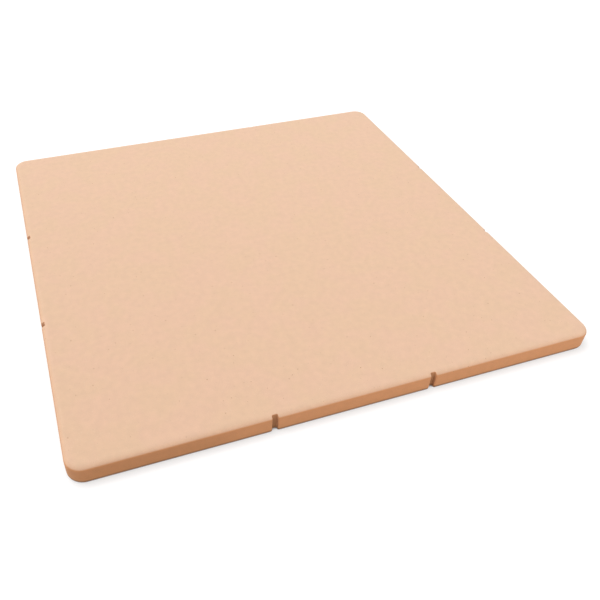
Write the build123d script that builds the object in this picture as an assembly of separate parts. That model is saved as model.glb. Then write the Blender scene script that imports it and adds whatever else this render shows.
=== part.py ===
from build123d import *
import os

# One square baking slab of pressed and fired cordierite.
# Millimetres, +Z up, origin at the middle of the underside, sides along X and Y.

# Slab
SLAB_WIDTH = 381.0
SLAB_DEPTH = 381.0
SLAB_THICKNESS = 14.2
CORNER_RADIUS = 11.5

# Eased edges: the top edge falls away as a quarter of an ellipse, the foot is a plain round
TOP_EDGE_INSET = 5.0
TOP_EDGE_DROP = 3.0
FOOT_EDGE_RADIUS = 1.5

# Expansion notches: two in each side, with a flat inner end and a mouth that is rounded in plan
NOTCH_WIDTH = 3.9
NOTCH_DEPTH = 2.7
NOTCH_MOUTH_RADIUS = 1.2
NOTCH_CORNER_RADIUS = 0.8

# Between the two notches of a side, for the sides that run along X and for those that run along Y
NOTCH_SPACING_ALONG_X = 115.6
NOTCH_SPACING_ALONG_Y = 112.6

# How far a cut runs past what it removes
CUT_OVERRUN = 3.0


def slab_outline():
    """The slab seen from above, without its notches."""
    return RectangleRounded(SLAB_WIDTH, SLAB_DEPTH, CORNER_RADIUS)


def notch_slot():
    """One notch in plan: it opens along -Y at the origin, and its mouth isn't rounded yet."""
    length = NOTCH_DEPTH + CUT_OVERRUN
    slot = RectangleRounded(NOTCH_WIDTH, length, NOTCH_CORNER_RADIUS, align=(Align.CENTER, Align.MAX))
    return Pos(0, NOTCH_DEPTH) * slot


def notch_places():
    """Where the mouths lie: two on each side, evenly either side of its middle."""
    along_x = (SLAB_DEPTH / 2, NOTCH_SPACING_ALONG_X / 2)
    along_y = (SLAB_WIDTH / 2, NOTCH_SPACING_ALONG_Y / 2)
    places = []
    for quarter, (reach, aside) in enumerate((along_x, along_y, along_x, along_y)):
        for along in (-aside, aside):
            places.append(Rot(0, 0, 90 * quarter) * Pos(along, -reach, 0))
    return places


def slab_plan():
    """The slab seen from above, with its notches and their rounded mouths."""
    places = notch_places()
    plan = slab_outline() - [place * notch_slot() for place in places]
    mouth_corners = []
    for place in places:
        mouth_corners += plan.vertices().sort_by_distance(place.position)[:2]
    return fillet(mouth_corners, NOTCH_MOUTH_RADIUS)


def easing(inset, drop):
    """What comes off all round the top edge, so that it falls away as a quarter of an ellipse."""
    shoulder = SLAB_THICKNESS - drop
    clear = SLAB_THICKNESS + CUT_OVERRUN
    eased = EllipticalCenterArc((-inset, shoulder), inset, drop, arc_size=90)
    beyond = Polyline(
        (-inset, SLAB_THICKNESS),
        (-inset, clear),
        (CUT_OVERRUN, clear),
        (CUT_OVERRUN, shoulder),
        (0, shoulder))
    outline = slab_outline().wire()
    along = outline % 0
    outward = along.cross(Vector(0, 0, 1))
    start = Plane(origin=outline @ 0, x_dir=outward, z_dir=-along)
    return sweep(start * make_face(eased + beyond), path=outline)


def baking_slab():
    """The whole slab: its plan pressed to thickness, with an eased top edge and a rounded foot."""
    slab = extrude(slab_plan(), SLAB_THICKNESS)
    middle = Plane.XY.offset(SLAB_THICKNESS / 2)
    top = easing(TOP_EDGE_INSET, TOP_EDGE_DROP)
    foot = mirror(easing(FOOT_EDGE_RADIUS, FOOT_EDGE_RADIUS), about=middle)
    return slab - top - foot


os.makedirs("parts", exist_ok=True)
slab = baking_slab()
slab.label = "baking_slab"
export_step(slab, "parts/baking_slab.step")
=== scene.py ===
import math

import bpy
import numpy as np
from bpy.props import FloatProperty, FloatVectorProperty, IntProperty, PointerProperty
from mathutils import Matrix, Vector
from mathutils.geometry import delaunay_2d_cdt


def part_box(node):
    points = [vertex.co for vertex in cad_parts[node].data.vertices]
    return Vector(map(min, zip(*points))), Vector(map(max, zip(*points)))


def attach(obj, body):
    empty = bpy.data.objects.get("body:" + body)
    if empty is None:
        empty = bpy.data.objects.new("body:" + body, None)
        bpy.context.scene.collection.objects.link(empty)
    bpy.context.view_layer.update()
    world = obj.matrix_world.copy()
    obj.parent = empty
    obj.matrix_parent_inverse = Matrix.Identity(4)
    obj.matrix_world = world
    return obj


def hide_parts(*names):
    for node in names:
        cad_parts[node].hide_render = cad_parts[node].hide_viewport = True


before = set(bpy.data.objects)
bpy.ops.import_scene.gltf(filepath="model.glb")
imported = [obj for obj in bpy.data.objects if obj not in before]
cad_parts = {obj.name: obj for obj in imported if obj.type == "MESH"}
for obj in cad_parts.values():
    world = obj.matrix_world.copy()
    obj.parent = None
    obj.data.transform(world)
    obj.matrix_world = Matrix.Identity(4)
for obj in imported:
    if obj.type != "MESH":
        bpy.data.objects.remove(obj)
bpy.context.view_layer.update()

bl_info = {
    "name": "Baking Slab",
    "version": (1, 0, 0),
    "blender": (4, 5, 0),
    "location": "View3D > Sidebar > Baking Slab",
    "description": "Builds a square fired baking slab with notched sides, and a plain studio for it",
    "category": "Add Mesh",
}

NODE = "baking_slab"
SLAB_LOW, SLAB_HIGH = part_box(NODE)
SLAB_SIZE = SLAB_HIGH - SLAB_LOW
MM = 0.001

# The four sides in turn, anticlockwise from above: the way along each one, and the way out of it
SIDES = (
    ((1, 0), (0, -1)),
    ((0, 1), (1, 0)),
    ((-1, 0), (0, 1)),
    ((0, -1), (-1, 0)),
)


class SLAB_PG_sizes(bpy.types.PropertyGroup):
    """Sizes of the pressed slab."""

    width: FloatProperty(
        name="Width", description="Side of the slab along X", default=SLAB_SIZE.x, unit="LENGTH")
    depth: FloatProperty(
        name="Depth", description="Side of the slab along Y", default=SLAB_SIZE.y, unit="LENGTH")
    thickness: FloatProperty(
        name="Thickness", description="Underside to baking face", default=SLAB_SIZE.z, unit="LENGTH")
    corner_radius: FloatProperty(
        name="Corner radius", description="Radius of the four corners in plan",
        default=11.5 * MM, unit="LENGTH")
    edge_inset: FloatProperty(
        name="Edge inset", description="How far in from the side the baking face starts to fall away",
        default=5.0 * MM, unit="LENGTH")
    edge_drop: FloatProperty(
        name="Edge drop", description="How far the eased edge falls by the time it meets the side",
        default=3.0 * MM, unit="LENGTH")
    foot_radius: FloatProperty(
        name="Foot radius", description="Round where the side meets the underside",
        default=1.5 * MM, unit="LENGTH")
    notch_width: FloatProperty(
        name="Notch width", description="Width of each expansion notch",
        default=3.9 * MM, unit="LENGTH")
    notch_depth: FloatProperty(
        name="Notch depth", description="How far each notch reaches in from the side",
        default=2.7 * MM, unit="LENGTH")
    mouth_radius: FloatProperty(
        name="Mouth radius", description="Round in plan where a notch opens to the side",
        default=1.2 * MM, unit="LENGTH")
    notch_corner: FloatProperty(
        name="Notch corner", description="Round in plan of the two inner corners of a notch",
        default=0.8 * MM, unit="LENGTH")
    spacing_x: FloatProperty(
        name="Notch spacing along X", description="Middle to middle, on the two sides that run along X",
        default=115.6 * MM, unit="LENGTH")
    spacing_y: FloatProperty(
        name="Notch spacing along Y", description="Middle to middle, on the two sides that run along Y",
        default=112.6 * MM, unit="LENGTH")
    arris_radius: FloatProperty(
        name="Notch arris", description="Round along every edge of a notch",
        default=0.5 * MM, unit="LENGTH")


class SLAB_PG_pores(bpy.types.PropertyGroup):
    """Open pores that the firing leaves in the surface."""

    spacing: FloatProperty(
        name="Least spacing", description="No two pores lie closer than this",
        default=3.0 * MM, unit="LENGTH")
    density: FloatProperty(
        name="Density", description="Pores on a square metre of surface", default=6000.0, min=0)
    smallest: FloatProperty(
        name="Smallest", description="Least radius of a pore's hollow",
        default=0.14 * MM, unit="LENGTH")
    largest: FloatProperty(
        name="Largest", description="Greatest radius of a pore's hollow",
        default=0.42 * MM, unit="LENGTH")
    seed: IntProperty(name="Seed", description="Which scatter of pores is drawn", default=7)


class SLAB_PG_finish(bpy.types.PropertyGroup):
    """Colours of the fired ceramic, linear; those of the sides, eased edge, notches, foot line and
    pores are painted shade.
    """

    face: FloatVectorProperty(
        name="Face", description="Flat faces, mean colour", subtype="COLOR", size=3,
        default=(0.80, 0.56, 0.395), min=0, max=1)
    # Painted shade: a darker, warmer eased edge that stands in for its turning away from the light and
    # tones down the fill lamp's highlight along it
    rim_shade: FloatVectorProperty(
        name="Eased edge", description="Slightly warmer where the face falls away to the sides",
        subtype="COLOR", size=3, default=(0.794, 0.528, 0.355), min=0, max=1)
    # Painted shade: browner, darker sides that stand in for the shade the sides fall into, on a ceramic
    # of one colour all over
    side: FloatVectorProperty(
        name="Sides", description="Browner skin on the sides", subtype="COLOR", size=3,
        default=(0.724, 0.331, 0.141), min=0, max=1)
    # Painted shade: darker notch walls, darkest low down, where shade falls in the narrow slots
    notch: FloatVectorProperty(
        name="Notches", description="Darker skin deep in the notches", subtype="COLOR", size=3,
        default=(0.48, 0.215, 0.09), min=0, max=1)
    # Painted shade: a darker brown line where the sides turn under towards the floor
    foot: FloatVectorProperty(
        name="Foot line", description="Darker brown where the sides turn under", subtype="COLOR",
        size=3, default=(0.385, 0.177, 0.073), min=0, max=1)
    pink: FloatVectorProperty(
        name="Pink drift", description="Colour of the pinker clouds in the face", subtype="COLOR",
        size=3, default=(0.81, 0.55, 0.40), min=0, max=1)
    straw: FloatVectorProperty(
        name="Straw drift", description="Colour of the yellower clouds in the face", subtype="COLOR",
        size=3, default=(0.79, 0.56, 0.38), min=0, max=1)
    grog: FloatVectorProperty(
        name="Grog", description="Pale ground grains in the body", subtype="COLOR", size=3,
        default=(0.88, 0.74, 0.60), min=0, max=1)
    iron: FloatVectorProperty(
        name="Iron specks", description="Small brown specks", subtype="COLOR", size=3,
        default=(0.30, 0.15, 0.08), min=0, max=1)
    # Painted shade: a darker colour in the pore hollows
    pore: FloatVectorProperty(
        name="Pores", description="Inside of the open pores", subtype="COLOR", size=3,
        default=(0.50, 0.275, 0.145), min=0, max=1)


class SLAB_PG_studio(bpy.types.PropertyGroup):
    """The plain pale studio and its camera."""

    key_power: FloatProperty(
        name="Key light", description="Large soft lamp above and behind, in watts", default=19.0, min=0)
    fill_power: FloatProperty(
        name="Fill light", description="Low soft lamp at the near right, in watts",
        default=0.187, min=0)
    bounce_power: FloatProperty(
        name="Bounce light",
        description="Strip on the floor that lights the near side from below, in watts",
        default=0.0174, min=0)
    sky: FloatProperty(
        name="Sky", description="Strength of the even light all round", default=0.62, min=0)
    lean: FloatProperty(
        name="Sky lean",
        description="How much more of the even light comes from the left than from the right",
        default=0.35, min=0, max=1)
    lens: FloatProperty(name="Lens", description="Focal length in millimetres", default=39.777, min=1)
    shift: FloatProperty(
        name="Lens shift", description="Sideways shift, as a share of the frame", default=0.0967)
    place: FloatVectorProperty(
        name="Camera", description="Where the camera stands", subtype="TRANSLATION", size=3,
        default=(-0.16628, -0.43466, 0.34985))
    heading: FloatProperty(
        name="Heading", description="Clockwise from +Y", subtype="ANGLE", default=math.radians(19.119))
    tilt: FloatProperty(
        name="Tilt", description="Down from the horizon", subtype="ANGLE", default=math.radians(41.569))
    roll: FloatProperty(
        name="Roll", description="Turn about the line of sight", subtype="ANGLE",
        default=math.radians(0.625))


QUARTER = math.pi / 2  # of a turn

# How finely the slab's mesh is stepped
ARC_STEPS = 6  # quarter rounds along the arrises
MOUTH_STEPS = 8  # quarter round of a notch's mouth, in plan
CORNER_STEPS = 24  # quarter round of a corner, in plan
INNER_STEPS = 6  # quarter round of a notch's inner corner, in plan
FLAT_STEPS = 2  # each straight stretch inside a notch
EASED_ROWS = 8  # along the eased edge, inside its arris
WALL_ROWS = 5  # up the side
RUN_STEP = 2.1 * MM  # along the side
NEAR_STEP = 0.6 * MM  # along the side, beside a notch
NEAR_REACH = 4.0 * MM  # how far either side of a notch the finer steps run
FACE_GRID = 8.0 * MM  # open grid of the baking face
UNDERSIDE_GRID = 24.0 * MM

# Loose points of a flat face, measured in from its eased edge
FIRST_ROW = 0.5 * MM
SECOND_ROW = 3.0 * MM
GRID_START = 6.0 * MM
NOTCH_GAP = 0.25 * MM  # least distance from a loose point to a notch's arris

# How the flat faces are triangulated, in millimetres
ONLY_INSIDE = 1
WELD_DISTANCE = 1e-5


def steps(start, end, count):
    """Evenly spaced from the start up to, but not at, the end."""
    return start + (end - start) * np.arange(count) / count


def notch_stations(middle, reach, s):
    """One notch's outline: rows of place along, place out, normal along, normal out, turn inward."""
    half, mouth, corner = s.notch_width / 2, s.mouth_radius, s.notch_corner
    end = reach - s.notch_depth
    left = []
    for a in steps(0, QUARTER, MOUTH_STEPS):
        left.append((-half - mouth * (1 - math.sin(a)), reach - mouth * (1 - math.cos(a)),
                     math.sin(a), math.cos(a), a))
    for h in steps(reach - mouth, end + corner, FLAT_STEPS):
        left.append((-half, h, 1, 0, QUARTER))
    for a in steps(0, QUARTER, INNER_STEPS):
        left.append((-half + corner * (1 - math.cos(a)), end + corner * (1 - math.sin(a)),
                     math.cos(a), math.sin(a), QUARTER))
    for x in steps(corner - half, 0, FLAT_STEPS):
        left.append((x, end, 0, 1, QUARTER))
    right = [(-x, h, -nx, nh, a) for x, h, nx, nh, a in left[:0:-1]]
    return [(middle + x, *rest) for x, *rest in [*left, (0, end, 0, 1, QUARTER), *right]]


def stretches(half, spacing, s):
    """A side in stretches, each with its start, its end, its pace and the middle of the notch in it."""
    mouth = s.notch_width / 2 + s.mouth_radius
    found, at = [], -half
    for middle in (-spacing / 2, spacing / 2):
        found += [
            (at, middle - mouth - NEAR_REACH, RUN_STEP, None),
            (middle - mouth - NEAR_REACH, middle - mouth, NEAR_STEP, None),
            (middle - mouth, middle + mouth, NEAR_STEP, middle),
            (middle + mouth, middle + mouth + NEAR_REACH, NEAR_STEP, None)]
        at = middle + mouth + NEAR_REACH
    return [*found, (at, half, RUN_STEP, None)]


def outline_stations(s, notched=True):
    """The outline anticlockwise from above: places, outward normals and turns off the side."""
    size = np.array((s.width, s.depth))
    places, normals, turns = [], [], []
    for along, out in SIDES:
        along, out = np.array(along, float), np.array(out, float)
        reach = np.abs(out) @ size / 2
        half = np.abs(along) @ size / 2 - s.corner_radius
        spacing = np.abs(along) @ (s.spacing_x, s.spacing_y)
        rows = []
        for start, end, pace, middle in stretches(half, spacing, s):
            if notched and middle is not None:
                rows += notch_stations(middle, reach, s)
            else:
                count = math.ceil((end - start) / pace)
                rows += [(x, reach, 0, 1, 0) for x in steps(start, end, count)]
        centre = reach - s.corner_radius
        for a in steps(0, QUARTER, CORNER_STEPS):
            rows.append((half + s.corner_radius * math.sin(a), centre + s.corner_radius * math.cos(a),
                         math.sin(a), math.cos(a), 0))
        rows = np.array(rows, float)
        places.append(rows[:, :1] * along + rows[:, 1:2] * out)
        normals.append(rows[:, 2:3] * along + rows[:, 3:4] * out)
        turns.append(rows[:, 4])
    return np.concatenate(places), np.concatenate(normals), np.concatenate(turns)


def inset_of(points, s):
    """How far inside the slab's plan, notches left aside, each point lies."""
    inner = np.abs(points) - (np.array((s.width, s.depth)) / 2 - s.corner_radius)
    outside = np.linalg.norm(np.maximum(inner, 0), axis=1)
    return s.corner_radius - outside - np.minimum(inner.max(axis=1), 0)


def clear_of_notches(points, gap, s):
    """Whether each point is further than the gap from every notch."""
    clear = np.ones(len(points), bool)
    for along, out in SIDES:
        inset = np.abs(out) @ np.array((s.width, s.depth)) / 2 - points @ np.array(out)
        spacing = np.abs(along) @ (s.spacing_x, s.spacing_y)
        aside = np.abs(np.abs(points @ np.array(along)) - spacing / 2)
        bite = np.clip(s.mouth_radius - inset, 0, s.mouth_radius)
        flare = s.mouth_radius - np.sqrt(s.mouth_radius ** 2 - bite ** 2)
        clear &= (inset > s.notch_depth + gap) | (aside > s.notch_width / 2 + flare + gap)
    return clear


def fall(inset, width, drop):
    """How far a quarter-ellipse edge lies below its flat face at this inset."""
    share = np.clip(1 - inset / width, 0, 1)
    return drop * (1 - np.sqrt(1 - share ** 2))


def edge_rings(places, normals, turns, width, drop, s):
    """Rings that run in from the outline over its arris, outermost first: plan points and falls."""
    rings = []
    for a in np.linspace(0, QUARTER, ARC_STEPS + 1):
        offset = s.arris_radius * (1 - math.cos(a))
        points = places - normals * offset
        arris = np.sin(turns) ** 2 * fall(offset, s.arris_radius, s.arris_radius)
        rings.append((points, fall(inset_of(points, s), width, drop) + arris))
    return rings


def inner_points(width, grid, s):
    """Points for the face inside the last ring: rows along the eased edge, then an open grid."""
    places, normals, _ = outline_stations(s, notched=False)
    found = []
    for a in np.linspace(math.acos(1 - s.arris_radius / width), QUARTER, EASED_ROWS + 1)[1:]:
        found.append(places - normals * width * (1 - math.cos(a)))
    found.append(places - normals * (width + FIRST_ROW))
    found.append((places - normals * (width + SECOND_ROW))[::2])
    rows = int(max(s.width, s.depth) / grid)
    a, b = np.meshgrid(np.arange(-rows, rows + 1), np.arange(-rows, rows + 1))
    lattice = np.stack([(a + 0.5 * (b % 2)) * grid, b * grid * math.sqrt(3) / 2], -1).reshape(-1, 2)
    found.append(lattice[inset_of(lattice, s) > width + GRID_START])
    points = np.concatenate(found)
    return points[clear_of_notches(points, s.arris_radius + NOTCH_GAP, s)]


class Skin:
    """Gathers a closed skin's vertices and faces."""

    def __init__(self):
        self.vertices, self.faces, self.count = [], [], 0

    def add(self, points, heights):
        """Adds vertices and gives their numbers."""
        self.vertices.append(np.column_stack([points, heights]))
        self.count += len(points)
        return np.arange(self.count - len(points), self.count)

    def add_faces(self, faces, flip):
        """Adds faces, turned the other way round if they have to flip."""
        self.faces += [face[::-1] if flip else face for face in faces]

    def band(self, outer, inner, flip=False):
        """Faces between two closed rings of as many vertices."""
        self.add_faces(np.column_stack(
            [outer, np.roll(outer, -1), np.roll(inner, -1), inner]).tolist(), flip)

    def fill(self, ring, edge, points, heights, flip=False):
        """Triangulates the flat side of a ring, with more points inside it."""
        plan = [Vector(p / MM) for p in np.concatenate([edge, points])]
        made = delaunay_2d_cdt(plan, [], [list(range(len(edge)))], ONLY_INSIDE, WELD_DISTANCE)
        triangles, origins = made[2:4]
        if any(not origin for origin in origins):
            raise RuntimeError("the outline crosses itself")
        numbers = np.concatenate([ring, self.add(points, heights)])
        self.add_faces([[int(numbers[origins[i][0]]) for i in face] for face in triangles], flip)


def slab_mesh(s):
    """The whole slab: two faces, their eased edges and the wall between, as one closed skin."""
    places, normals, turns = outline_stations(s)
    skin = Skin()
    edges = []
    for width, drop, grid, base, up in (
            (s.edge_inset, s.edge_drop, FACE_GRID, s.thickness, -1),
            (s.foot_radius, s.foot_radius, UNDERSIDE_GRID, 0, 1)):
        rings = edge_rings(places, normals, turns, width, drop, s)
        numbers = [skin.add(points, base + up * fallen) for points, fallen in rings]
        for outer, inner in zip(numbers, numbers[1:]):
            skin.band(outer, inner, up > 0)
        points = inner_points(width, grid, s)
        heights = base + up * fall(inset_of(points, s), width, drop)
        skin.fill(numbers[-1], rings[-1][0], points, heights, up > 0)
        edges.append((numbers[0], base + up * rings[0][1]))
    (top, top_height), (foot, foot_height) = edges
    rows = [foot]
    for share in np.arange(1, WALL_ROWS) / WALL_ROWS:
        rows.append(skin.add(places, foot_height + (top_height - foot_height) * share))
    rows.append(top)
    for lower, upper in zip(rows, rows[1:]):
        skin.band(lower, upper)
    data = bpy.data.meshes.new(NODE)
    data.from_pydata(np.concatenate(skin.vertices).tolist(), [], skin.faces)
    return data


def add_node(tree, kind, inputs=None, **settings):
    """Adds a node, sets it up, and gives its inputs values or links."""
    node = tree.nodes.new(kind)
    for name, value in settings.items():
        setattr(node, name, value)
    for name, value in (inputs or {}).items():
        socket = node.inputs[name]
        if isinstance(value, bpy.types.NodeSocket):
            tree.links.new(value, socket)
        else:
            socket.default_value = value
    return node


def math_node(tree, operation, a, b=None, c=None, clamp=False):
    """The result of one sum on plain numbers."""
    given = {i: v for i, v in enumerate((a, b, c)) if v is not None}
    return add_node(tree, "ShaderNodeMath", given, operation=operation, use_clamp=clamp).outputs[0]


def ranged(tree, value, low, high, to_low=0.0, to_high=1.0, smooth=False):
    """A number carried from one range to another and held inside it."""
    kind = "SMOOTHSTEP" if smooth else "LINEAR"
    given = {"Value": value, "From Min": low, "From Max": high, "To Min": to_low, "To Max": to_high}
    return add_node(tree, "ShaderNodeMapRange", given, interpolation_type=kind).outputs["Result"]


def mixed(tree, share, a, b, blend="MIX"):
    """Two colours mixed."""
    def colour(c):
        return c if isinstance(c, bpy.types.NodeSocket) else (*c, 1.0)
    return add_node(
        tree, "ShaderNodeMix", {0: share, 6: colour(a), 7: colour(b)},
        data_type="RGBA", blend_type=blend, clamp_factor=True).outputs[2]


def noise(tree, place, size, detail=3, rough=0.5, offset=0.0):
    """Even noise between 0 and 1, with features of about this size, moved aside by the offset."""
    moved = add_node(
        tree, "ShaderNodeVectorMath", {0: place, 1: (offset,) * 3}, operation="ADD").outputs[0]
    given = {"Vector": moved, "Scale": 1 / size, "Detail": detail, "Roughness": rough}
    return add_node(tree, "ShaderNodeTexNoise", given).outputs["Fac"]


def specks(tree, place, cell, radius, chosen, least=0.45, soft=0.35):
    """Round specks: one in some of the cells of a loose lattice, each at its own size."""
    cells = add_node(tree, "ShaderNodeTexVoronoi", {"Vector": place, "Scale": 1 / cell})
    parts = add_node(tree, "ShaderNodeSeparateColor", {0: cells.outputs["Color"]})
    size = ranged(tree, parts.outputs[1], 0, 1, least * radius / cell, radius / cell)
    near = math_node(tree, "DIVIDE", cells.outputs["Distance"], size)
    spot = ranged(tree, near, 1 - soft, 1, 1, 0, smooth=True)
    picked = math_node(tree, "LESS_THAN", parts.outputs[0], chosen)
    return math_node(tree, "MULTIPLY", spot, picked)


# What every vertex stores for the finish, each between 0 and 1: how far it takes the painted shade of
# the side skin, of the eased edge and of a notch, how far it is turned away from the flat faces (for
# the painted shade of the foot line), and how far it takes the painted light of a paler notch top
SHARES = ("skin", "rim_shade", "notch", "turned", "pale")

# Patterns of the finish: their sizes, the range of the noise that counts, and the tones it gives
CLOUD_SIZE, CLOUD_RANGE, CLOUD_STRENGTH = 22 * MM, (0.36, 0.64), 0.5
VEIL_SIZE, VEIL_RANGE, VEIL_TONES = 5 * MM, (0.3, 0.7), (0.975, 1.025)
GRAIN_SIZE, GRAIN_RANGE, GRAIN_TONES = 0.42 * MM, (0.25, 0.75), (0.93, 1.07)
COARSE_SIZE, COARSE_RELIEF = 0.9 * MM, 0.6
ROUGH_RANGE, ROUGHNESS = (0.3, 0.7), (0.80, 0.92)
BUMP_STRENGTH, BUMP_HEIGHT = 0.35, 0.07 * MM

# Specks: the cell that one may lie in, its radius, the share of cells chosen, and how strongly it shows
GROG_CELL, GROG_RADIUS, GROG_CHOSEN = 1.5 * MM, 0.42 * MM, 0.5
GROG_ON_FACE, GROG_LOST_ON_SIDE = 0.24, 0.20
IRON_CELL, IRON_RADIUS, IRON_CHOSEN, IRON_SHOWN = 3.4 * MM, 0.26 * MM, 0.45, 0.45

# Heights above the underside between which the painted shade and painted light change
# Painted light: the notch tops are lighter, far more on the sides along Y, because of how the light
# falls there
LIT_NOTCH_RISE = (7.5 * MM, 11.0 * MM)  # the paler notches lose their brown
NOTCH_SHADE_RISE, NOTCH_SHADE_LEAST = (8.5 * MM, 13.4 * MM), 0.6  # every notch lightens towards its top
# Painted shade along the foot line
FOOT_SHADE_RISE, FOOT_SHADE_LEAST = (0.7 * MM, 1.5 * MM), 0.3  # the foot line darkens from its least share
FOOT_SHADE_FADE = (1.3 * MM, 2.6 * MM)  # and then fades into the side


def fired_cordierite(finish):
    """Matt, fine-grained fired ceramic: clouded face, grog, iron specks, pores, with painted shade on
    the sides, eased edge, notches, foot line and pore hollows, and painted light on the notch tops.
    """
    material = bpy.data.materials.new("fired_cordierite")
    material.use_nodes = True
    tree = material.node_tree
    tree.nodes.clear()
    place = add_node(tree, "ShaderNodeTexCoord").outputs["Object"]

    clouds = ranged(tree, noise(tree, place, CLOUD_SIZE), *CLOUD_RANGE, smooth=True)
    veils = noise(tree, place, VEIL_SIZE, offset=0.31)
    grain = noise(tree, place, GRAIN_SIZE, rough=0.6, offset=0.67)
    skin, rim_shade, notch, turned, pale, hollow = (
        add_node(tree, "ShaderNodeAttribute", attribute_name=name).outputs["Fac"]
        for name in (*SHARES, "pore"))
    height = add_node(tree, "ShaderNodeSeparateXYZ", {0: place}).outputs["Z"]

    colour = mixed(tree, clouds, finish.pink, finish.straw)
    colour = mixed(tree, 1 - CLOUD_STRENGTH, colour, finish.face)
    # Painted shade on the eased edge
    colour = mixed(tree, rim_shade, colour, finish.rim_shade)
    # Painted light lifts the notch tops, more on the sides along Y
    lit_notch_top = math_node(tree, "MULTIPLY", pale, ranged(tree, height, *LIT_NOTCH_RISE))
    # Painted shade: the steep parts take the browner side colour by their skin share, less where
    # painted light lifts a notch top
    colour = mixed(tree, math_node(tree, "SUBTRACT", skin, lit_notch_top, clamp=True), colour, finish.side)
    # Painted shade deep in every notch, thinning out towards its top
    sunk_shade = math_node(tree, "MULTIPLY", notch, ranged(tree, height, *NOTCH_SHADE_RISE, 1, NOTCH_SHADE_LEAST))
    colour = mixed(tree, math_node(tree, "SUBTRACT", sunk_shade, lit_notch_top, clamp=True), colour, finish.notch)
    # Painted shade of the foot line, low on the turned surfaces
    low = math_node(tree, "MULTIPLY", ranged(tree, height, *FOOT_SHADE_FADE, 1, 0, smooth=True),
                    ranged(tree, height, *FOOT_SHADE_RISE, FOOT_SHADE_LEAST, 1))
    colour = mixed(tree, math_node(tree, "MULTIPLY", low, turned), colour, finish.foot)
    veil = ranged(tree, veils, *VEIL_RANGE, *VEIL_TONES)
    grit = ranged(tree, grain, *GRAIN_RANGE, *GRAIN_TONES)
    tone = math_node(tree, "MULTIPLY", veil, grit)
    grey = add_node(tree, "ShaderNodeCombineColor", {0: tone, 1: tone, 2: tone}).outputs[0]
    colour = mixed(tree, 1.0, colour, grey, "MULTIPLY")
    grog = specks(tree, place, GROG_CELL, GROG_RADIUS, GROG_CHOSEN)
    shown = math_node(tree, "MULTIPLY_ADD", skin, -GROG_LOST_ON_SIDE, GROG_ON_FACE)
    colour = mixed(tree, math_node(tree, "MULTIPLY", grog, shown), colour, finish.grog)
    iron = specks(tree, place, IRON_CELL, IRON_RADIUS, IRON_CHOSEN)
    colour = mixed(tree, math_node(tree, "MULTIPLY", iron, IRON_SHOWN), colour, finish.iron)
    # Painted shade inside the pores
    colour = mixed(tree, hollow, colour, finish.pore)

    rough = ranged(tree, grain, *ROUGH_RANGE, *ROUGHNESS)
    coarse = noise(tree, place, COARSE_SIZE, detail=2, offset=1.3)
    relief = math_node(tree, "ADD", math_node(tree, "MULTIPLY", coarse, COARSE_RELIEF), grain)
    bump = add_node(tree, "ShaderNodeBump", {
        "Height": relief, "Strength": BUMP_STRENGTH, "Distance": BUMP_HEIGHT}).outputs[0]
    shader = add_node(tree, "ShaderNodeBsdfPrincipled", {
        "Base Color": colour, "Roughness": rough, "Diffuse Roughness": 0.6, "Normal": bump, "IOR": 1.45,
        "Specular IOR Level": 0.45, "Sheen Weight": 0.12, "Sheen Roughness": 0.5,
        "Sheen Tint": (1, 1, 1, 1)})
    add_node(tree, "ShaderNodeOutputMaterial", {"Surface": shader.outputs[0]})
    return material


# The balls that cut the pores
SMALL_BIAS = 2.2  # the higher it is, the more of them are small
BALL_LIFT = 0.45  # out of the surface, as a share of the radius
BALL_LEVEL = 2  # how finely each is stepped
LEAST_STRETCH, MOST_STRETCH = 0.8, 1.25
STRETCH_SEED, TURN_SEED = 3, 5
SMOOTH_ANGLE = math.radians(28)  # edges of the cut slab that turn less than this are shaded smooth


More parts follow.
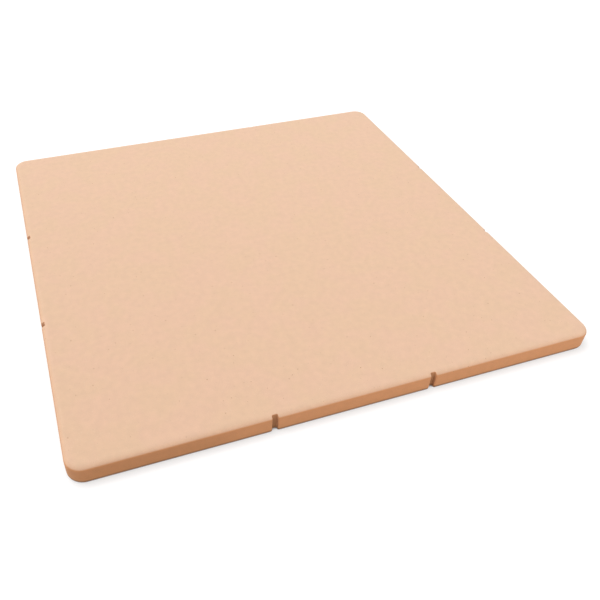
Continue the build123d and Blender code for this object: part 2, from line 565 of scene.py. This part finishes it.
def pore_tree(material):
    """Geometry nodes that scatter shallow hollows over a closed skin and cut them out of it."""
    tree = bpy.data.node_groups.new("open_pores", "GeometryNodeTree")
    face = tree.interface
    face.new_socket("Slab", in_out="INPUT", socket_type="NodeSocketGeometry")
    for name in ("Spacing", "Density", "Smallest", "Largest"):
        face.new_socket(name, in_out="INPUT", socket_type="NodeSocketFloat")
    face.new_socket("Seed", in_out="INPUT", socket_type="NodeSocketInt")
    face.new_socket("Slab", in_out="OUTPUT", socket_type="NodeSocketGeometry")
    given = add_node(tree, "NodeGroupInput").outputs

    scatter = add_node(tree, "GeometryNodeDistributePointsOnFaces", {
        "Mesh": given["Slab"], "Distance Min": given["Spacing"], "Density Max": given["Density"],
        "Seed": given["Seed"]}, distribute_method="POISSON")
    draw = add_node(tree, "FunctionNodeRandomValue", {2: 0.0, 3: 1.0, "Seed": given["Seed"]},
                    data_type="FLOAT").outputs[1]
    small_ones = math_node(tree, "POWER", draw, SMALL_BIAS)
    radius = ranged(tree, small_ones, 0, 1, given["Smallest"], given["Largest"])
    lift = add_node(tree, "ShaderNodeVectorMath", {
        0: scatter.outputs["Normal"], "Scale": math_node(tree, "MULTIPLY", radius, BALL_LIFT)},
        operation="SCALE").outputs[0]
    lifted = add_node(tree, "GeometryNodeSetPosition", {
        "Geometry": scatter.outputs["Points"], "Offset": lift}).outputs[0]
    ball = add_node(tree, "GeometryNodeMeshIcoSphere", {
        "Radius": 1.0, "Subdivisions": BALL_LEVEL}).outputs["Mesh"]
    ball = add_node(tree, "GeometryNodeStoreNamedAttribute", {
        "Geometry": ball, "Name": "pore", "Value": 1.0},
        data_type="FLOAT", domain="FACE").outputs[0]
    stretch = add_node(tree, "FunctionNodeRandomValue", {
        0: (LEAST_STRETCH,) * 3, 1: (MOST_STRETCH,) * 3, "Seed": STRETCH_SEED},
        data_type="FLOAT_VECTOR").outputs[0]
    scale = add_node(tree, "ShaderNodeVectorMath", {
        0: stretch, "Scale": radius}, operation="SCALE").outputs[0]
    turn = add_node(tree, "FunctionNodeRandomValue", {
        0: (0.0,) * 3, 1: (math.tau,) * 3, "Seed": TURN_SEED}, data_type="FLOAT_VECTOR").outputs[0]
    balls = add_node(tree, "GeometryNodeInstanceOnPoints", {
        "Points": lifted, "Instance": ball, "Rotation": turn, "Scale": scale}).outputs[0]
    balls = add_node(tree, "GeometryNodeRealizeInstances", {"Geometry": balls}).outputs[0]
    cut = add_node(tree, "GeometryNodeMeshBoolean", {"Mesh 1": given["Slab"], "Mesh 2": balls},
                   operation="DIFFERENCE", solver="MANIFOLD").outputs["Mesh"]
    for name in SHARES:
        share = add_node(
            tree, "GeometryNodeInputNamedAttribute", {"Name": name}, data_type="FLOAT").outputs[0]
        share = add_node(tree, "GeometryNodeSampleNearestSurface", {
            "Mesh": given["Slab"], "Value": share}, data_type="FLOAT").outputs["Value"]
        cut = add_node(tree, "GeometryNodeStoreNamedAttribute", {
            "Geometry": cut, "Name": name, "Value": share},
            data_type="FLOAT", domain="POINT").outputs[0]
    cut = add_node(tree, "GeometryNodeSetShadeSmooth", {"Geometry": cut, "Shade Smooth": True},
                   domain="FACE").outputs[0]
    angle = add_node(tree, "GeometryNodeInputMeshEdgeAngle").outputs["Unsigned Angle"]
    soft = add_node(tree, "FunctionNodeCompare", {0: angle, 1: SMOOTH_ANGLE},
                    data_type="FLOAT", operation="LESS_THAN").outputs[0]
    cut = add_node(tree, "GeometryNodeSetShadeSmooth", {"Geometry": cut, "Shade Smooth": soft},
                   domain="EDGE").outputs[0]
    cut = add_node(tree, "GeometryNodeRealizeInstances", {"Geometry": cut}).outputs[0]
    cut = add_node(tree, "GeometryNodeSetMaterial", {"Geometry": cut, "Material": material}).outputs[0]
    add_node(tree, "NodeGroupOutput", {0: cut})
    return tree


# How level the surface is, from 0 on the sides to 1 on the flat faces: each painted shade is whole up
# to the first and gone past the second
SIDE_SHADE_LEVELS = (0.40, 0.82)
RIM_SHADE_LEVELS = (0.86, 0.985)
FOOT_SHADE_LEVELS = (0.90, 0.99)
# Where the painted shade of the notches lies
NOTCH_SHADE_LEVELS = (0.10, 0.60)
NOTCH_SHADE_INSETS = (0.3 * MM, 1.5 * MM)  # how far in from the side a notch's own skin starts and is whole

# How much painted light lifts the tops of the notches, on the sides that run along Y and on those that
# run along X
LIT_NOTCH_ALONG_Y, LIT_NOTCH_ALONG_X = 0.85, 0.12


def eased_share(value, start, end):
    """0 up to the start, 1 past the end, and a smooth step between them."""
    share = np.clip((value - start) / (end - start), 0, 1)
    return share * share * (3 - 2 * share)


def fired_shares(data, s):
    """Stores how much painted shade and painted light each vertex takes, by how level the surface is
    and how deep in a notch.
    """
    normals = np.zeros(len(data.vertices) * 3, np.float32)
    data.vertex_normals.foreach_get("vector", normals)
    level = np.abs(normals.reshape(-1, 3)[:, 2])
    places = np.zeros(len(data.vertices) * 3, np.float32)
    data.vertices.foreach_get("co", places)
    plan = places.reshape(-1, 3)[:, :2].astype(float)
    inset = inset_of(plan, s)
    past_x, past_y = (np.abs(plan) - np.array((s.width, s.depth)) / 2).T
    notch = eased_share(inset, *NOTCH_SHADE_INSETS) * (1 - eased_share(level, *NOTCH_SHADE_LEVELS))
    shares = {
        # skin: painted shade of the sides
        "skin": 1 - eased_share(level, *SIDE_SHADE_LEVELS),
        # rim: painted shade of the eased edge
        "rim_shade": 1 - eased_share(level, *RIM_SHADE_LEVELS),
        # notch: painted shade of the notch walls
        "notch": notch,
        # turned: where the painted shade of the foot line can lie
        "turned": 1 - eased_share(level, *FOOT_SHADE_LEVELS),
        # pale: painted light on the notch tops
        "pale": notch * np.where(past_x > past_y, LIT_NOTCH_ALONG_Y, LIT_NOTCH_ALONG_X),
    }
    for name in SHARES:
        layer = data.attributes.new(name, "FLOAT", "POINT")
        layer.data.foreach_set("value", shares[name].astype(np.float32))
    data.attributes.new("pore", "FLOAT", "FACE")


class SLAB_OT_press(bpy.types.Operator):
    """Press and fire the slab: its body, notches and open pores"""

    bl_idname = "baking_slab.press"
    bl_label = "Add baking slab"

    def execute(self, context):
        scene = context.scene
        sizes, pores = scene.slab_sizes, scene.slab_pores
        material = fired_cordierite(scene.slab_finish)
        body = slab_mesh(sizes)
        fired_shares(body, sizes)
        slab = bpy.data.objects.new("fired_slab", body)
        scene.collection.objects.link(slab)
        tree = pore_tree(material)
        pitting = slab.modifiers.new("open_pores", "NODES")
        pitting.node_group = tree
        values = {
            "Spacing": pores.spacing, "Density": pores.density, "Smallest": pores.smallest,
            "Largest": pores.largest, "Seed": pores.seed}
        for socket in tree.interface.items_tree:
            if socket.in_out == "INPUT" and socket.name in values:
                pitting[socket.identifier] = values[socket.name]
        context.view_layer.update()
        pitted = slab.evaluated_get(context.evaluated_depsgraph_get())
        finished = bpy.data.meshes.new_from_object(pitted)
        if not finished.polygons:
            raise RuntimeError("the pores couldn't be cut")
        finished.materials.clear()
        finished.materials.append(material)
        finished.polygons.foreach_set("material_index", np.zeros(len(finished.polygons), np.int32))
        slab.modifiers.remove(pitting)
        slab.data = finished
        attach(slab, "root")
        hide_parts(NODE)
        return {"FINISHED"}


# Floor: half its side, its height, and how grey it is to the light that falls on it
FLOOR_REACH = 1.0
FLOOR_HEIGHT = -0.1 * MM
FLOOR_GREY = 0.42

# The floor's painted shades round the slab, made by dimming its glow where it is closed in: their
# reach, the range of openness that counts, and the glow
SHADE_SAMPLES = 16
APRON_REACH, APRON_RANGE, APRON_GLOW = 9 * MM, (0.5, 1.0), (0.60, 0.68)
CONTACT_REACH, CONTACT_RANGE = 6 * MM, (0.18, 0.47)

# Lamps, in metres: each one's place, what it faces, its width and its height
LAMPS = {
    "key": ((-0.40, 0.42, 1.68), (0, 0, 0), 1.2, 1.2),
    "fill": ((0.18, -0.48, 0.01), (0.08, -0.19, 0.005), 0.3, 0.016),
    "bounce": ((0.085, -0.216, 0.0005), (0.085, -0.216, 1), 0.35, 0.043),
}

WHITE = (1, 1, 1, 1)
SENSOR_WIDTH = 36.0  # in millimetres, as the lens is
CLIP_START = 0.01


def seen_share(tree):
    """1 for the rays that show a thing, 0 for the rays that light other things."""
    path = add_node(tree, "ShaderNodeLightPath").outputs
    seen = math_node(tree, "MAXIMUM", path["Is Camera Ray"], path["Is Glossy Ray"])
    return math_node(tree, "MAXIMUM", seen, path["Is Transmission Ray"])


def pale_floor():
    """A floor that shows white: its glow is dimmed by occlusion near the slab, a painted contact
    shadow, and its dull part keeps the real shadow.
    """
    material = bpy.data.materials.new("pale_floor")
    material.use_nodes = True
    tree = material.node_tree
    tree.nodes.clear()
    dull = add_node(tree, "ShaderNodeBsdfDiffuse", {"Color": (FLOOR_GREY,) * 3 + (1,)})
    wide, tight = (
        add_node(tree, "ShaderNodeAmbientOcclusion", {"Distance": reach},
                 samples=SHADE_SAMPLES).outputs["AO"]
        for reach in (APRON_REACH, CONTACT_REACH))
    # Painted contact shadow: the glow dims where the slab closes the floor in
    apron = ranged(tree, wide, *APRON_RANGE, *APRON_GLOW)
    contact = ranged(tree, tight, *CONTACT_RANGE, smooth=True)
    strength = math_node(tree, "MULTIPLY", apron, contact)
    glow = add_node(tree, "ShaderNodeEmission", {"Color": WHITE, "Strength": strength})
    shown = add_node(tree, "ShaderNodeAddShader", {0: dull.outputs[0], 1: glow.outputs[0]})
    mix = add_node(tree, "ShaderNodeMixShader", {
        0: seen_share(tree), 1: dull.outputs[0], 2: shown.outputs[0]})
    add_node(tree, "ShaderNodeOutputMaterial", {"Surface": mix.outputs[0]})
    return material


def add_lamp(scene, name, place, target, power, width, height):
    """A soft rectangular lamp that faces its target."""
    lamp = bpy.data.lights.new(name, "AREA")
    lamp.shape = "RECTANGLE"
    lamp.size, lamp.size_y = width, height
    lamp.energy = power
    holder = bpy.data.objects.new(name, lamp)
    scene.collection.objects.link(holder)
    holder.location = place
    holder.rotation_euler = (Vector(target) - Vector(place)).to_track_quat("-Z", "Y").to_euler()
    holder.visible_camera = False


class SLAB_OT_studio(bpy.types.Operator):
    """Set up the pale floor, the soft lamps and the camera"""

    bl_idname = "baking_slab.studio"
    bl_label = "Add studio"

    def execute(self, context):
        scene = context.scene
        studio = scene.slab_studio
        floor = bpy.data.meshes.new("floor")
        corners = [(x * FLOOR_REACH, y * FLOOR_REACH, FLOOR_HEIGHT)
                   for x, y in ((-1, -1), (1, -1), (1, 1), (-1, 1))]
        floor.from_pydata(corners, [], [(0, 1, 2, 3)])
        floor.materials.append(pale_floor())
        ground = bpy.data.objects.new("floor", floor)
        scene.collection.objects.link(ground)

        world = bpy.data.worlds.new("pale_studio")
        world.use_nodes = True
        tree = world.node_tree
        tree.nodes.clear()
        way = add_node(tree, "ShaderNodeTexCoord").outputs["Generated"]
        across = add_node(tree, "ShaderNodeSeparateXYZ", {0: way}).outputs["X"]
        left, right = studio.sky * (1 + studio.lean), studio.sky * (1 - studio.lean)
        strength = ranged(tree, across, -1, 1, left, right)
        even = add_node(tree, "ShaderNodeBackground", {"Color": WHITE, "Strength": strength})
        white = add_node(tree, "ShaderNodeBackground", {"Color": WHITE, "Strength": 1.0})
        mix = add_node(tree, "ShaderNodeMixShader", {
            0: seen_share(tree), 1: even.outputs[0], 2: white.outputs[0]})
        add_node(tree, "ShaderNodeOutputWorld", {"Surface": mix.outputs[0]})
        scene.world = world

        powers = {"key": studio.key_power, "fill": studio.fill_power, "bounce": studio.bounce_power}
        for name, (place, target, width, height) in LAMPS.items():
            add_lamp(scene, name, place, target, powers[name], width, height)

        view = bpy.data.cameras.new("camera")
        view.sensor_width = SENSOR_WIDTH
        view.lens = studio.lens
        view.shift_x = studio.shift
        view.clip_start = CLIP_START
        view.dof.use_dof = False
        camera = bpy.data.objects.new("camera", view)
        scene.collection.objects.link(camera)
        aim = (Matrix.Rotation(-studio.heading, 4, "Z")
               @ Matrix.Rotation(QUARTER - studio.tilt, 4, "X")
               @ Matrix.Rotation(studio.roll, 4, "Z"))
        camera.matrix_world = Matrix.Translation(studio.place) @ aim
        scene.camera = camera
        scene.view_settings.view_transform = "Standard"
        return {"FINISHED"}


class SLAB_PT_sidebar(bpy.types.Panel):
    """Sizes, finish and studio of the baking slab"""

    bl_idname = "SLAB_PT_sidebar"
    bl_label = "Baking Slab"
    bl_space_type = "VIEW_3D"
    bl_region_type = "UI"
    bl_category = "Baking Slab"

    def draw(self, context):
        for title, group, operator in (
                ("Sizes", context.scene.slab_sizes, SLAB_OT_press),
                ("Pores", context.scene.slab_pores, None),
                ("Finish", context.scene.slab_finish, None),
                ("Studio", context.scene.slab_studio, SLAB_OT_studio)):
            box = self.layout.box()
            box.label(text=title)
            for name in group.__annotations__:
                box.prop(group, name)
            if operator:
                box.operator(operator.bl_idname)


GROUPS = {
    "slab_sizes": SLAB_PG_sizes,
    "slab_pores": SLAB_PG_pores,
    "slab_finish": SLAB_PG_finish,
    "slab_studio": SLAB_PG_studio,
}
CLASSES = (*GROUPS.values(), SLAB_OT_press, SLAB_OT_studio, SLAB_PT_sidebar)


def register():
    for cls in CLASSES:
        bpy.utils.register_class(cls)
    for name, group in GROUPS.items():
        setattr(bpy.types.Scene, name, PointerProperty(type=group))


def unregister():
    for name in GROUPS:
        delattr(bpy.types.Scene, name)
    for cls in reversed(CLASSES):
        bpy.utils.unregister_class(cls)


def main():
    register()
    bpy.ops.baking_slab.studio()
    bpy.ops.baking_slab.press()


if __name__ == "__main__":
    main()
